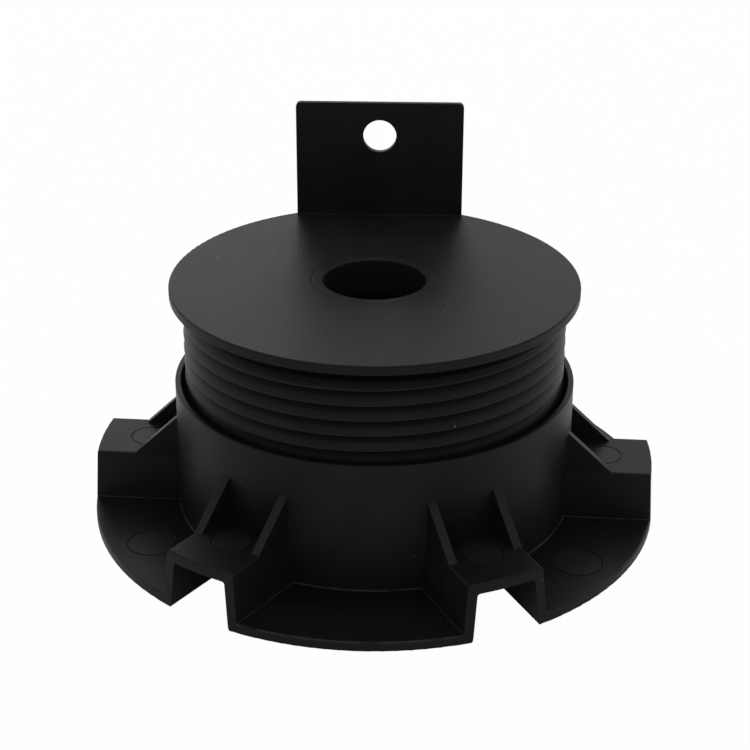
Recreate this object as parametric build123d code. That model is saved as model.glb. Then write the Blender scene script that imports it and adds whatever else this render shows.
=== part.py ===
from build123d import *
from math import ceil, floor, radians, sqrt, tan
import os

# Adjustable decking pedestal: a flanged base with six raised channels and a threaded collar,
# and a screw-in head with a flat seat, a fixing tab and a short centre sleeve.
# Millimetres, +Z up, origin at the centre of the base's underside.
# A channel lies every 60 degrees from +X, and the plain front sector faces -Y.

# flange
flange_radius = 85.0
flange_thickness = 3.0
flange_edge_round = 0.5
flange_under_round = 0.3

# collar, the nut of the screw
collar_wall = 2.8
collar_height = 42.7
collar_foot_round = 0.6
collar_rim_round = 0.4
mouth_widening = 1.0
mouth_depth = 5.5

# screw thread, right hand, one start
thread_crest_radius = 56.4
thread_depth = 1.3
thread_pitch = 4.55
crest_land = 0.3
load_flank_fall = 0.15
slope_height = 3.9
thread_radial_clearance = 0.25
thread_axial_clearance = 0.2
thread_bite = 0.4

# raised channels of the base, open below and at the rim
channel_count = 6
channel_height = 17.8
channel_roof = 3.0
channel_mouth_width = 17.6
channel_wall = 2.6
channel_draft = 5.5
channel_end_lean = 3.5
channel_end_round = 0.6
channel_edge_round = 0.8
channel_inner_round = 0.9
channel_foot_round = 0.4
channel_lip_round = 1.0
channel_rim_inset = 0.05

# gussets that carry the channel walls up to the collar
gusset_run = 12.3
gusset_rise = 12.7

# round ejector marks, each a fine ring, placed from the collar
mark_depth = 0.2
mark_line = 0.35
channel_mark_radius = 5.85
channel_mark_gap = 9.8
sector_mark_radius = 7.2
sector_mark_gap = 13.6
front_turn = 270
front_mark_turn = 58

# head plate, and how far it is screwed out as built
head_overhang = 3.75
head_thickness = 2.8
head_edge_round = 0.5
head_under_round = 0.2
rest_lift = 27.4
rest_turn = 3.15

# hollow screw barrel under the plate
barrel_length = 42.4
barrel_wall = 2.95
barrel_end_chamfer = 0.8
barrel_root_round = 0.4
thread_start_drop = 4.1

# stiffening ribs under the plate
plate_rib_count = 6
plate_rib_thickness = 2.2
plate_rib_depth = 6.5

# fixing tab, upright on the plate
tab_width = 52.2
tab_height = 36.9
tab_thickness = 2.0
tab_inset = 7.8
tab_corner_round = 1.6
tab_edge_round = 0.3
tab_foot_round = 0.6
tab_hole_radius = 5.2
tab_hole_height = 26.2

# centre sleeve, a flanged bush that lies flush in the plate and can turn in it
sleeve_bore_radius = 15.0
sleeve_wall = 2.4
sleeve_length = 11.2
sleeve_flange_radius = 18.5
sleeve_flange_thickness = 1.4
sleeve_mouth_round = 0.7
sleeve_rim_round = 0.15
sleeve_bead_height = 0.8
sleeve_bead_reach = 0.5
sleeve_fit_clearance = 0.1
sleeve_end_play = 0.1

# boss under the plate that holds the sleeve
boss_wall = 2.4

# how far a cutting or joining solid runs past the face it crosses
overrun = 5.0
# how deep the fillets at a foot start below the face they rise from
join_depth = 0.1

# sizes that follow from the ones above
thread_root_radius = thread_crest_radius - thread_depth
nut_root_radius = thread_crest_radius + thread_radial_clearance
nut_crest_radius = thread_root_radius + thread_radial_clearance
collar_radius = nut_root_radius + collar_wall
mouth_radius = nut_root_radius + mouth_widening
head_radius = thread_crest_radius + head_overhang
plate_underside = collar_height + rest_lift
seat_height = plate_underside + head_thickness
barrel_end = plate_underside - barrel_length
barrel_inner_radius = thread_root_radius - barrel_wall
sleeve_radius = sleeve_bore_radius + sleeve_wall
sleeve_foot = seat_height - sleeve_length
seat_bore_radius = sleeve_radius + sleeve_fit_clearance
seat_flange_radius = sleeve_flange_radius + sleeve_fit_clearance
seat_ledge = seat_height - sleeve_flange_thickness - sleeve_end_play
boss_radius = seat_bore_radius + boss_wall
boss_end = sleeve_foot + sleeve_bead_height + sleeve_end_play
channel_half_inside = channel_mouth_width / 2
channel_half_outside = channel_half_inside + channel_wall
channel_inside_height = channel_height - channel_roof
channel_spread = tan(radians(channel_draft))
# the screw thread's top end, which lies under the tab
thread_end_height = plate_underside - thread_start_drop
thread_end_turn = 90 + rest_turn


def rounded(face, radius, *corners):
    """The face with the corners at the given points rounded."""
    near = [min(face.vertices(), key=lambda v: (Vector(v) - Vector(*c)).length) for c in corners]
    return fillet(near, radius)


def ring_of(section):
    """Solid of revolution about Z from a face whose x is the radius and y the height."""
    return revolve(Plane.XZ * section, Axis.Z, 360)


def helix_turns(section, crest_height, crest_turn, count):
    """Whole turns of a right-handed ridge, as one solid for each turn.

    The first crest point has this height and this turn in degrees. The section's middle rides
    on the helix, because a sweep starts at the helix point nearest to it.
    """
    middle = section.center().Y
    path = Helix(thread_pitch, thread_pitch, thread_crest_radius)
    ridge = sweep(Plane.XZ * Pos(0, -middle) * section, path=path, is_frenet=True)
    first = Pos(0, 0, crest_height + middle) * Rot(0, 0, crest_turn) * ridge
    return [Pos(0, 0, thread_pitch * k) * first for k in range(count)]


def groove_run(radius):
    """How far in from the crest a radius lies, as a share of the thread's depth."""
    return (thread_crest_radius - radius) / thread_depth


def screw_section():
    """Saw-tooth section of the head's thread: a flat load flank below, a long slope above."""
    inside = thread_root_radius - thread_bite
    return Polygon(
        (inside, -load_flank_fall * groove_run(inside)),
        (thread_crest_radius, 0),
        (thread_crest_radius, crest_land),
        (thread_root_radius, crest_land + slope_height),
        (inside, crest_land + slope_height),
        align=None,
    )


def groove_section():
    """Section of the collar's groove: the screw's ridge, grown by the clearances."""
    inside = nut_crest_radius - thread_bite
    fall = load_flank_fall * groove_run(inside)
    top = crest_land + thread_axial_clearance
    rise = slope_height * groove_run(nut_crest_radius)
    return Polygon(
        (inside, -fall - thread_axial_clearance),
        (nut_root_radius, -thread_axial_clearance),
        (nut_root_radius, top),
        (nut_crest_radius, top + rise),
        (inside, top + rise),
        align=None,
    )


def turn_at_height(height):
    """Turn in degrees at which the screw's crest passes a height."""
    return thread_end_turn + 360 * (height - thread_end_height) / thread_pitch


def flange_and_collar():
    mouth_floor = collar_height - mouth_depth
    section = Polygon(
        (nut_crest_radius, 0),
        (flange_radius, 0),
        (flange_radius, flange_thickness),
        (collar_radius, flange_thickness),
        (collar_radius, collar_height),
        (mouth_radius, collar_height),
        (mouth_radius, mouth_floor + mouth_radius - nut_crest_radius),
        (nut_crest_radius, mouth_floor),
        align=None,
    )
    section = rounded(section, flange_edge_round, (flange_radius, flange_thickness))
    section = rounded(section, flange_under_round, (flange_radius, 0))
    section = rounded(section, collar_foot_round, (collar_radius, flange_thickness))
    section = rounded(
        section, collar_rim_round, (collar_radius, collar_height), (mouth_radius, collar_height)
    )
    return ring_of(section)


def along_channel(profile, start, end):
    """Extrude a profile drawn across the channel, x sideways and y up, along +X."""
    across = Plane(origin=(start, 0, 0), x_dir=(0, 1, 0), z_dir=(1, 0, 0))
    return extrude(across * profile, end - start)


def rim_envelope():
    """What the channels may fill: the rim, leaning in a little above the flange."""
    reach = flange_radius - channel_rim_inset
    envelope_height = channel_height + channel_rim_inset
    lean = (envelope_height - flange_thickness) * tan(radians(channel_end_lean))
    section = Polygon(
        (0, 0),
        (reach, 0),
        (reach, flange_thickness),
        (reach - lean, envelope_height),
        (0, envelope_height),
        align=None,
    )
    section = rounded(section, channel_end_round, (reach - lean, envelope_height))
    return ring_of(section)


def channel_block():
    """Outside of one channel, with its rounded top edges and the fillets at its foot."""
    top = channel_half_outside
    root = flange_thickness - join_depth
    foot = top + (channel_height - root) * channel_spread
    sunk = flange_thickness / 2
    toe = foot + channel_foot_round
    profile = Polygon(
        (-toe, sunk),
        (toe, sunk),
        (toe, root),
        (foot, root),
        (top, channel_height),
        (-top, channel_height),
        (-foot, root),
        (-toe, root),
        align=None,
    )
    profile = rounded(profile, channel_edge_round, (top, channel_height), (-top, channel_height))
    profile = rounded(profile, channel_foot_round, (foot, root), (-foot, root))
    block = along_channel(profile, collar_radius - channel_wall, flange_radius + overrun)
    return block & rim_envelope()


def channel_hollow():
    """Inside of one channel, from the collar out past the rim, with a rounded lip below."""
    top = channel_half_inside
    foot = top + channel_inside_height * channel_spread
    skirt = foot + overrun
    profile = Polygon(
        (-skirt, -overrun),
        (skirt, -overrun),
        (skirt, 0),
        (foot, 0),
        (top, channel_inside_height),
        (-top, channel_inside_height),
        (-foot, 0),
        (-skirt, 0),
        align=None,
    )
    profile = rounded(
        profile, channel_inner_round, (top, channel_inside_height), (-top, channel_inside_height)
    )
    profile = rounded(profile, channel_lip_round, (foot, 0), (-foot, 0))
    inner_end = sqrt(collar_radius**2 - skirt**2) - overrun
    hollow = along_channel(profile, inner_end, flange_radius + overrun)
    keep = Pos(0, 0, channel_height / 2) * Cylinder(collar_radius, 4 * channel_height)
    return hollow - keep


def gusset(side):
    """Sloping rib over one channel wall, side +1 or -1."""
    middle = side * (channel_half_outside - channel_wall / 2)
    at_collar = sqrt(collar_radius**2 - channel_half_outside**2)
    foot_reach = collar_radius + gusset_run
    slope = gusset_rise / (foot_reach - at_collar)
    inner_reach = at_collar - channel_wall / 2
    root = channel_height - channel_roof / 2
    outline = Polygon(
        (inner_reach, root),
        (foot_reach, root),
        (foot_reach, channel_height),
        (inner_reach, channel_height + slope * (foot_reach - inner_reach)),
        align=None,
    )
    upright = Plane(origin=(0, middle, 0), x_dir=(1, 0, 0), z_dir=(0, -1, 0))
    return extrude(upright * outline, channel_wall / 2, both=True)


def ring_mark(radius):
    """Cutter for the fine ring that an ejector pin leaves."""
    height = 2 * mark_depth
    return Cylinder(radius, height) - Cylinder(radius - mark_line, 2 * height)


def ejector_marks():
    """Ring marks on the channels' roofs and on every flange sector but the front."""
    sector = 360 / channel_count
    on_roof = Pos(collar_radius + channel_mark_gap, 0, channel_height)
    on_flange = Pos(collar_radius + sector_mark_gap, 0, flange_thickness)
    roof_mark = on_roof * ring_mark(channel_mark_radius)
    flange_mark = on_flange * ring_mark(sector_mark_radius)
    flange_turns = [front_turn + sector * k for k in range(2, channel_count - 1)]
    flange_turns += [front_turn - front_mark_turn, front_turn + front_mark_turn]
    marks = [Rot(0, 0, sector * k) * roof_mark for k in range(channel_count)]
    return marks + [Rot(0, 0, turn) * flange_mark for turn in flange_turns]


def make_base():
    turns = [Rot(0, 0, 360 / channel_count * k) for k in range(channel_count)]
    block, hollow = channel_block(), channel_hollow()
    gussets = [gusset(-1), gusset(1)]
    body = flange_and_collar() + [turn * block for turn in turns]
    body += [turn * plate for turn in turns for plate in gussets]
    body -= [turn * hollow for turn in turns] + ejector_marks()
    start = -thread_pitch
    count = ceil((collar_height - start) / thread_pitch)
    return body - helix_turns(groove_section(), start, turn_at_height(start), count)


def plate_and_barrel():
    """The plate with its screw barrel, and the stepped seat and boss of the sleeve."""
    section = Polygon(
        (seat_flange_radius, seat_height),
        (head_radius, seat_height),
        (head_radius, plate_underside),
        (thread_root_radius, plate_underside),
        (thread_root_radius, barrel_end + barrel_end_chamfer),
        (thread_root_radius - barrel_end_chamfer, barrel_end),
        (barrel_inner_radius, barrel_end),
        (barrel_inner_radius, plate_underside),
        (boss_radius, plate_underside),
        (boss_radius, boss_end),
        (seat_bore_radius, boss_end),
        (seat_bore_radius, seat_ledge),
        (seat_flange_radius, seat_ledge),
        align=None,
    )
    section = rounded(section, head_edge_round, (head_radius, seat_height))
    section = rounded(section, head_under_round, (head_radius, plate_underside))
    section = rounded(
        section,
        barrel_root_round,
        (thread_root_radius, plate_underside),
        (barrel_inner_radius, plate_underside),
        (boss_radius, plate_underside),
    )
    return ring_of(section)


def plate_ribs():
    """Radial ribs under the plate, from the sleeve's boss to the barrel."""
    start = boss_radius - boss_wall / 2
    end = barrel_inner_radius + barrel_wall / 2
    foot = plate_underside - plate_rib_depth
    top = plate_underside + head_thickness / 2
    block = Box(end - start, plate_rib_thickness, top - foot)
    rib = Pos((start + end) / 2, 0, (foot + top) / 2) * block
    return [Rot(0, 0, 360 / plate_rib_count * (k + 0.5)) * rib for k in range(plate_rib_count)]


def fixing_tab():
    """Upright tab with rounded top corners and its screw hole, square to +Y."""
    face = head_radius - tab_inset
    back = face + tab_thickness
    seat = seat_height
    top = seat + tab_height
    root = seat - join_depth
    sunk = seat - head_thickness / 2
    toe = tab_foot_round + join_depth
    side_view = Polygon(
        (face - toe, sunk),
        (back + toe, sunk),
        (back + toe, root),
        (back, root),
        (back, top),
        (face, top),
        (face, root),
        (face - toe, root),
        align=None,
    )
    side_view = rounded(side_view, tab_edge_round, (face, top), (back, top))
    side_view = rounded(side_view, tab_foot_round, (face, root), (back, root))
    plate = extrude(Plane.YZ * side_view, tab_width / 2, both=True)
    front_view = Polygon(
        (-tab_width / 2, sunk),
        (tab_width / 2, sunk),
        (tab_width / 2, top),
        (-tab_width / 2, top),
        align=None,
    )
    front_view = rounded(front_view, tab_corner_round, (tab_width / 2, top), (-tab_width / 2, top))
    front_view -= Pos(0, seat + tab_hole_height) * Circle(tab_hole_radius)
    outline = extrude(Plane.XZ * front_view, -(back + overrun))
    inside_rim = Pos(0, 0, seat) * Cylinder(head_radius, 4 * tab_height)
    return plate & outline & inside_rim


def make_head():
    count = floor((thread_end_height - barrel_end - barrel_end_chamfer) / thread_pitch)
    start = thread_end_height - thread_pitch * count
    ridges = helix_turns(screw_section(), start, turn_at_height(start), count)
    at_rest = Rot(0, 0, rest_turn)
    body = plate_and_barrel() + ridges
    return body + [at_rest * piece for piece in [*plate_ribs(), fixing_tab()]]


def make_centre_sleeve():
    """Flanged bush with a snap bead at its foot, under the boss."""
    flange_foot = seat_height - sleeve_flange_thickness
    bead_top = sleeve_foot + sleeve_bead_height
    section = Polygon(
        (sleeve_bore_radius, sleeve_foot),
        (sleeve_radius, sleeve_foot),
        (sleeve_radius + sleeve_bead_reach, bead_top - sleeve_bead_height / 4),
        (sleeve_radius + sleeve_bead_reach, bead_top),
        (sleeve_radius, bead_top),
        (sleeve_radius, flange_foot),
        (sleeve_flange_radius, flange_foot),
        (sleeve_flange_radius, seat_height),
        (sleeve_bore_radius, seat_height),
        align=None,
    )
    section = rounded(section, sleeve_mouth_round, (sleeve_bore_radius, seat_height))
    section = rounded(section, sleeve_rim_round, (sleeve_flange_radius, seat_height))
    return ring_of(section)


def save(name, body):
    body.label = name
    print(name, "solids", len(body.solids()), "valid", body.is_valid, "volume", round(body.volume))
    export_step(body, f"parts/{name}.step")


os.makedirs("parts", exist_ok=True)
save("base", make_base())
save("head", make_head())
save("centre_sleeve", make_centre_sleeve())
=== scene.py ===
import math
import bmesh
import bpy
from mathutils import Matrix, Vector

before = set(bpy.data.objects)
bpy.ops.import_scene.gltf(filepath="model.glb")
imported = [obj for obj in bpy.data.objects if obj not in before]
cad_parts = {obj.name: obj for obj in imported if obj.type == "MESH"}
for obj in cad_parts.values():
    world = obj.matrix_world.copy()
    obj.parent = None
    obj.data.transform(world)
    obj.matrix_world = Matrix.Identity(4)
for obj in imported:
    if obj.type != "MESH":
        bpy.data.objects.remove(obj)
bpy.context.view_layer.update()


# shader maths: a wire is one socket, and sums on wires add nodes
class Wire:
    def __init__(self, tree, socket=None):
        self.tree = tree
        self.socket = socket

    def node(self, kind, settings, values, output=0):
        made = self.tree.nodes.new(kind)
        for name, setting in settings.items():
            setattr(made, name, setting)
        for name, value in values.items():
            if isinstance(value, Wire):
                self.tree.links.new(value.socket, made.inputs[name])
            else:
                made.inputs[name].default_value = value
        return Wire(self.tree, None if output is None else made.outputs[output])

    def also(self, output):                     # another output of the same node
        return Wire(self.tree, self.socket.node.outputs[output])

    def maths(self, operation, second=0.0):     # this wire is the first number
        return self.node("ShaderNodeMath", {"operation": operation}, {0: self, 1: second})

    def __add__(self, other):
        return self.maths("ADD", other)

    def __sub__(self, other):
        return self.maths("SUBTRACT", other)

    def __rsub__(self, other):
        return self.node("ShaderNodeMath", {"operation": "SUBTRACT"}, {0: other, 1: self})

    def __mul__(self, other):
        return self.maths("MULTIPLY", other)

    def __truediv__(self, other):
        return self.maths("DIVIDE", other)

    __radd__ = __add__
    __rmul__ = __mul__


def between(value, limits):                     # 0 below the limits, 1 above, soft between
    return value.node(
        "ShaderNodeMapRange",
        {"interpolation_type": "SMOOTHSTEP"},
        {"Value": value, "From Min": limits[0], "From Max": limits[1]},
        "Result",
    )


def within(value, low, high):                   # 1 inside the limits, 0 outside
    return value.maths("GREATER_THAN", low) * value.maths("LESS_THAN", high)


def fromAxis(place):                            # how far a point lies from the screw's axis
    x, y = place, place.also("Y")
    return (x * x + y * y).maths("SQRT")


def blended(start, share, first, second):       # a colour between two, by a share
    return start.node("ShaderNodeMix", {"data_type": "RGBA"}, {0: share, 6: first, 7: second}, 2)


def noise(start, coordinates, size, detail, roughness):
    values = {"Vector": coordinates, "Scale": 1 / size, "Detail": detail, "Roughness": roughness}
    return start.node("ShaderNodeTexNoise", {}, values, "Fac")


def backdropRays(start):                        # the camera's rays, and all that see the backdrop
    camera = start.node("ShaderNodeLightPath", {}, {}, "Is Camera Ray")
    seen = start.node(
        "ShaderNodeMath",
        {"operation": "ADD", "use_clamp": True},
        {0: camera + camera.also("Is Glossy Ray"), 1: camera.also("Is Transmission Ray")},
    )
    return camera, seen


cameraValues = {
    "azimuth": -85.28,        # degrees, where the camera stands round the pedestal
    "distance": 0.496482,     # metres from the screw's axis, on the floor plan
    "height": 0.280254,
    "pitch": 25.711,          # degrees below the horizon
    "yaw": 0.0364,
    "roll": -0.1853,
    "lens": 88.13,
    "sensor": 36.0,
    "shift": (-0.00067, 0.00156),
    "clip": (0.01, 20.0),
}


def makeCamera():
    values = cameraValues
    data = bpy.data.cameras.new("photoCamera")
    data.sensor_width = values["sensor"]
    data.lens = values["lens"]
    data.shift_x, data.shift_y = values["shift"]
    data.clip_start, data.clip_end = values["clip"]
    camera = bpy.data.objects.new("photoCamera", data)
    bpy.context.scene.collection.objects.link(camera)
    azimuth = math.radians(values["azimuth"])
    heading = azimuth + math.pi - math.radians(values["yaw"])    # looks back at the axis
    pitch = math.radians(values["pitch"])
    roll = math.radians(values["roll"])
    forward = Vector(
        (math.cos(heading) * math.cos(pitch), math.sin(heading) * math.cos(pitch), -math.sin(pitch))
    )
    level = Vector((math.sin(heading), -math.cos(heading), 0.0))
    down = forward.cross(level)
    right = level * math.cos(roll) + down * math.sin(roll)
    up = level * math.sin(roll) - down * math.cos(roll)
    place = Vector((math.cos(azimuth), math.sin(azimuth), 0.0)) * values["distance"]
    place.z = values["height"]
    turned = Matrix((right, up, -forward)).transposed().to_4x4()
    camera.matrix_world = Matrix.Translation(place) @ turned
    bpy.context.scene.camera = camera
    print("camera made")


floorValues = {
    "size": 6.0,
    "colour": (0.82, 0.82, 0.82, 1.0),
    "white": (1.0, 1.0, 1.0, 1.0),   # what camera and mirror rays see where no shadow falls
    "shade": (0.0, 0.0, 0.0, 1.0),   # what mirror rays see in the closest corners
    "shadowShow": 0.02,      # how much of the floor's own shade shows
    "shadeReach": 0.09,      # metres round the pedestal in which reflections find the floor darker
}


def makeFloor():
    values = floorValues
    mesh = bpy.data.meshes.new("floor")
    form = bmesh.new()
    bmesh.ops.create_grid(form, x_segments=1, y_segments=1, size=values["size"] / 2)
    form.to_mesh(mesh)
    form.free()
    floor = bpy.data.objects.new("floor", mesh)
    bpy.context.scene.collection.objects.link(floor)
    material = bpy.data.materials.new("paleFloor")
    material.use_nodes = True
    tree = material.node_tree
    tree.nodes.clear()
    start = Wire(tree)
    camera, seen = backdropRays(start)
    openSky = start.node(
        "ShaderNodeAmbientOcclusion", {"samples": 6}, {"Distance": values["shadeReach"]}, "AO"
    )
    sheet = start.node("ShaderNodeBsdfDiffuse", {}, {"Color": values["colour"]})
    level = camera + (1 - camera) * openSky
    white = blended(start, level, values["shade"], values["white"])
    glow = start.node("ShaderNodeEmission", {}, {"Color": white, "Strength": 1.0})
    mixed = start.node(
        "ShaderNodeMixShader", {}, {0: seen * (1 - values["shadowShow"]), 1: sheet, 2: glow}
    )
    start.node("ShaderNodeOutputMaterial", {}, {"Surface": mixed}, None)
    mesh.materials.append(material)
    print("floor made")


lampValues = {
    "world": 0.59,           # what lights the pedestal from all round
    "white": (1.0, 1.0, 1.0, 1.0),
    "backdrop": 0.80,        # how much of the white backdrop mirror rays see
    "frontShade": 0.50,      # how much of that is left on the side where the plain sector faces
    "frontFade": (-0.8, 0.6),        # from where to where along Y it comes back
    "colour": (1.0, 0.935, 0.985),
    "aim": (0.0, 0.0, 0.05),
    "softboxes": {
        "leftSoftbox": {"place": (-0.43, 1.24, 0.58), "size": (0.7, 0.45), "power": 1.7},
        "rightSoftbox": {"place": (0.33, 1.26, 0.58), "size": (0.6, 0.45), "power": 1.05},
        "topSoftbox": {"place": (0.05, 0.12, 1.5), "size": (0.5, 0.12), "power": 3.6},
    },
}


def makeWorld():
    values = lampValues
    world = bpy.data.worlds.new("studio")
    world.use_nodes = True
    bpy.context.scene.world = world
    tree = world.node_tree
    tree.nodes.clear()
    start = Wire(tree)
    camera, seen = backdropRays(start)
    direction = start.node("ShaderNodeTexCoord", {}, {}, "Generated")
    depth = start.node("ShaderNodeSeparateXYZ", {}, {"Vector": direction}, "Y")
    wash = values["frontShade"] + (1 - values["frontShade"]) * between(depth, values["frontFade"])
    mirrored = wash * values["backdrop"]
    level = camera + (1 - camera) * (values["world"] + seen * (mirrored - values["world"]))
    air = start.node("ShaderNodeBackground", {}, {"Color": values["white"], "Strength": level})
    start.node("ShaderNodeOutputWorld", {}, {"Surface": air}, None)
    print("world made")


def makeLamps():
    for name, values in lampValues["softboxes"].items():
        data = bpy.data.lights.new(name, "AREA")
        data.shape = "RECTANGLE"
        data.size, data.size_y = values["size"]
        data.energy = values["power"]
        data.color = lampValues["colour"]
        lamp = bpy.data.objects.new(name, data)
        lamp.location = values["place"]
        aim = Vector(lampValues["aim"]) - Vector(values["place"])
        lamp.rotation_euler = aim.to_track_quat("-Z", "Y").to_euler()
        bpy.context.scene.collection.objects.link(lamp)
    print("lamps made")


# how the screw's slopes bulge and tuck in, and where painted shade darkens the grooves and the neck
# under the plate, in metres or shares of the pitch
threadValues = {
    "pitch": 0.00455,
    "endHeight": 0.0660,     # the thread's top end, where its lower edge passes endTurn
    "endTurn": 93.15,        # degrees
    "land": 0.066,           # how far up the pitch the slope starts
    "slopeTop": 0.923,       # and ends
    "bulge": 0.00026,
    "grooveShade": (0.40, 0.64),     # from where to where up the slope the groove's shade comes in
    "plateShade": (0.0638, 0.0648),  # the same for the shade under the plate, by height
    "innerRadius": 0.0535,
    "outerRadius": 0.0575,
    "neckFoot": 0.0663,
    "neckTuck": 0.35,        # how steeply the neck tucks in under the plate
    "underside": 0.0700,
    "crestLine": (0.075, 0.045),     # shares of the pitch where the painted highlight along the crest fades
    "lastStretch": (-2.4, -0.9),     # radians before the end, where the thread rises to the plate
    "lastShade": 0.30,               # how much of the plate's shade is left there
}


def threadForm(place):
    values = threadValues
    x, y, z = place, place.also("Y"), place.also("Z")
    turn = y.maths("ARCTAN2", x) - math.radians(values["endTurn"])
    climb = (z - values["endHeight"]) / values["pitch"] - turn / (2 * math.pi)
    share = climb.maths("FRACT")
    up = (share - values["land"]) / (values["slopeTop"] - values["land"])
    up = up.maths("MAXIMUM", 0.0).maths("MINIMUM", 1.0)
    last = between(turn, values["lastStretch"]) * turn.maths("LESS_THAN", 0.0)
    last = last * climb.maths("GREATER_THAN", 0.0)
    onScrew = within(fromAxis(place), values["innerRadius"], values["outerRadius"])
    onScrew = onScrew * z.maths("LESS_THAN", values["underside"])
    below = z.maths("LESS_THAN", values["neckFoot"])
    neck = (z - values["neckFoot"]).maths("MAXIMUM", 0.0) * -values["neckTuck"]
    height = onScrew * (below * up * (1 - up) * (4 * values["bulge"]) + neck * (1 - last))
    # painted shade: the upper part of each groove, and the neck under the plate
    groove = between(share, values["grooveShade"]) * (1 - last)
    plate = between(z, values["plateShade"]) * (1 - last * (1 - values["lastShade"]))
    shade = onScrew * groove.maths("MAXIMUM", plate)
    # painted highlight along the crest
    crest = onScrew * below * between(share, values["crestLine"])
    return height, shade, crest


# where the base's round ejector marks lie, in metres and degrees
markValues = {
    "roof": {"reach": 0.06925, "radius": 0.0055, "height": 0.0165, "turns": (0, 60, 120, 180, 240, 300)},
    "flange": {"reach": 0.07305, "radius": 0.0069, "height": 0.0025, "turns": (30, 90, 150, 212, 328)},
}
markBand = 0.003             # how far above its height a mark's face may lie


def markDiscs(place):
    x, y, z = place, place.also("Y"), place.also("Z")
    discs = 0.0
    for values in markValues.values():
        onFace = within(z, values["height"], values["height"] + markBand)
        for turn in values["turns"]:
            across = x - values["reach"] * math.cos(math.radians(turn))
            along = y - values["reach"] * math.sin(math.radians(turn))
            off = (across * across + along * along).maths("SQRT")
            discs = discs + onFace * off.maths("LESS_THAN", values["radius"])
    return discs


# painted highlights, the pale lines where the base's foot fillets and rim edge catch light, in metres
edgeHighlightValues = {
    "foot": (0.00305, 0.00340),      # from what height to what height
    "rim": (0.00255, 0.00310),
    "rimRadius": 0.08462,
    "channelTurn": 60.0,     # degrees from one channel to the next
    "channelHalf": 0.01272,  # half a channel's width at its foot, where no line runs
    "breakSize": 0.004,      # how long the stronger and weaker stretches of a line are
    "breakDetail": (2.0, 0.5),
    "breakEdge": (0.30, 0.62),
}


def paintedEdgeHighlights(place, coordinates):
    values = edgeHighlightValues
    x, y, z = place, place.also("Y"), place.also("Z")
    radius = fromAxis(place)
    foot = within(z, *values["foot"])
    rim = radius.maths("GREATER_THAN", values["rimRadius"]) * within(z, *values["rim"])
    step = math.radians(values["channelTurn"])
    turns = y.maths("ARCTAN2", x) / step + 6.5      # half a step past a whole turn, so above 0
    aside = radius * ((turns.maths("FRACT") - 0.5) * step).maths("SINE")
    clear = aside.maths("ABSOLUTE").maths("GREATER_THAN", values["channelHalf"])
    uneven = noise(place, coordinates, values["breakSize"], *values["breakDetail"])
    return clear * foot.maths("MAXIMUM", rim) * between(uneven, values["breakEdge"])


# dust and crumbs of flash, one to a cell, in metres
speckValues = {
    "colour": (0.13, 0.125, 0.12, 1.0),
    "spacing": 0.0050,
    "radius": 0.00020,
    "baseRadius": 0.00015,
    "spread": (0.35, 1.3),   # the smallest, and how much more the largest
    "share": 0.30,           # of the cells that hold a speck
    "rimShare": 0.45,        # how many more do at the plate's edge
    "rimRadius": 0.0593,
    "top": 0.0735,           # the height above which none lies, so the tab is clean
}


def specks(place, coordinates, onScrew, onBase):
    values = speckValues
    share = values["share"]
    if onScrew:
        share = share + fromAxis(place).maths("GREATER_THAN", values["rimRadius"]) * values["rimShare"]
    cells = place.node(
        "ShaderNodeTexVoronoi",
        {"feature": "F1"},
        {"Vector": coordinates, "Scale": 1 / values["spacing"], "Randomness": 1.0},
        "Distance",
    )
    lot = place.node("ShaderNodeSeparateColor", {}, {"Color": cells.also("Color")}, "Red")
    least, more = values["spread"]
    radius = values["baseRadius" if onBase else "radius"]
    reach = radius / values["spacing"] * (least + more * lot / share)
    speck = lot.maths("LESS_THAN", share) * cells.maths("LESS_THAN", reach)
    return speck * place.also("Z").maths("LESS_THAN", values["top"])


plasticValues = {
    "colour": (0.0076, 0.0077, 0.0090, 1.0),
    "bloomColour": (0.0100, 0.0100, 0.0114, 1.0),    # where the skin is a little greyer
    "paintedShadeColour": (0.0024, 0.0024, 0.0030, 1.0),   # painted shade deep in the screw's grooves and under the plate
    "crestHighlightColour": (0.0165, 0.0160, 0.0168, 1.0),    # painted highlight, the fine line along the screw's crest
    "edgeHighlightColour": (0.0300, 0.0255, 0.0240, 1.0),     # painted highlight, the warm pale lines along feet and rim
    "sparkColour": (0.0165, 0.0160, 0.0172, 1.0),    # the gussets' spark-eroded slopes
    "levelFaceShade": (0.0060, 0.0060, 0.0070, 1.0),     # painted shade on the base's level faces, which the lamps light more
    "markColour": (0.0090, 0.0091, 0.0104, 1.0),
    "roughness": (0.35, 0.50),
    "baseRoughness": (0.36, 0.46),   # the base comes from a smoother mould
    "specular": 0.09,        # how strongly it mirrors, 0.5 is clear varnish
    "tint": (0.98, 0.96, 1.0, 1.0),
    "edgeRadius": 0.00030,   # metres, how round the moulded edges look
    "cloudSize": 0.018,
    "cloudDetail": (3.0, 0.55),
    "cloudEdge": (0.32, 0.68),
    "cloudShare": 0.15,      # of the change in roughness, and the grain has the rest
    "grainSize": 0.00080,
    "grainDetail": (3.0, 0.65),
    "grainHeight": 0.0000700,
    "sparkHeight": 0.000030,
    "level": (0.90, 0.98),   # the upward share of a level face's facing, where the painted shade goes
    "gussetLean": 0.72,      # and of the gusset slopes'
    "gussetEdge": (0.05, 0.09),
}


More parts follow.
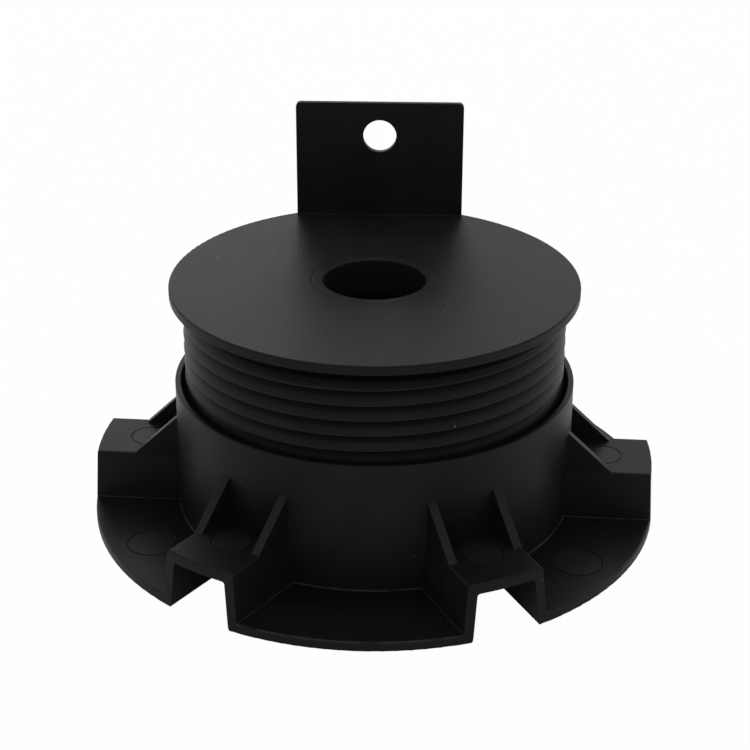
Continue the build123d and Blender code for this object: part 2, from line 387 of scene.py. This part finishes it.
def makePlastic(name, onScrew=False, onBase=False):
    values = plasticValues
    material = bpy.data.materials.new(name)
    material.use_nodes = True
    tree = material.node_tree
    shader = tree.nodes["Principled BSDF"]
    start = Wire(tree)
    coordinates = start.node("ShaderNodeTexCoord", {}, {}, "Object")
    place = start.node("ShaderNodeSeparateXYZ", {}, {"Vector": coordinates}, "X")

    cloud = noise(start, coordinates, values["cloudSize"], *values["cloudDetail"])
    cloud = between(cloud, values["cloudEdge"])
    grain = noise(start, coordinates, values["grainSize"], *values["grainDetail"])
    height = grain * values["grainHeight"]
    colour = blended(start, cloud, values["colour"], values["bloomColour"])

    if onScrew:
        bulge, groove, crest = threadForm(place)
        height = height + bulge
        # painted shade in the grooves and under the plate
        colour = blended(start, groove, colour, values["paintedShadeColour"])
        # painted highlight along the screw's crest
        colour = blended(start, crest, colour, values["crestHighlightColour"])
    if onBase:
        facing = start.node("ShaderNodeSeparateXYZ", {}, {"Vector": coordinates.also("Normal")}, "Z")
        # painted shade on the level faces
        colour = blended(start, between(facing, values["level"]), colour, values["levelFaceShade"])
        lean = (facing - values["gussetLean"]).maths("ABSOLUTE")
        spark = 1 - between(lean, values["gussetEdge"])
        height = height + spark * grain * values["sparkHeight"]
        colour = blended(start, spark, colour, values["sparkColour"])
        colour = blended(start, markDiscs(place), colour, values["markColour"])
        # painted highlights along the feet and rim
        colour = blended(start, paintedEdgeHighlights(place, coordinates), colour, values["edgeHighlightColour"])
    speck = specks(place, coordinates, onScrew, onBase)
    colour = blended(start, speck, colour, speckValues["colour"])

    smooth, rough = values["baseRoughness" if onBase else "roughness"]
    uneven = values["cloudShare"] * cloud + (1 - values["cloudShare"]) * grain
    gloss = smooth + (rough - smooth) * uneven
    worn = start.node("ShaderNodeBevel", {"samples": 6}, {"Radius": values["edgeRadius"]})
    normal = start.node(
        "ShaderNodeBump", {}, {"Strength": 1.0, "Distance": 1.0, "Height": height, "Normal": worn}
    )
    tree.links.new(colour.socket, shader.inputs["Base Color"])
    tree.links.new(gloss.socket, shader.inputs["Roughness"])
    tree.links.new(normal.socket, shader.inputs["Normal"])
    shader.inputs["Specular IOR Level"].default_value = values["specular"]
    shader.inputs["Specular Tint"].default_value = values["tint"]
    print(name, "made")
    return material


makeCamera()
makeFloor()
makeWorld()
makeLamps()
finishes = {
    "base": makePlastic("basePlastic", onBase=True),
    "head": makePlastic("headPlastic", onScrew=True),
    "centre_sleeve": makePlastic("sleevePlastic"),
}
for name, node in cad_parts.items():
    node.material_slots[0].material = finishes[name]
print("finishes set")

bpy.context.scene.view_settings.view_transform = "Standard"
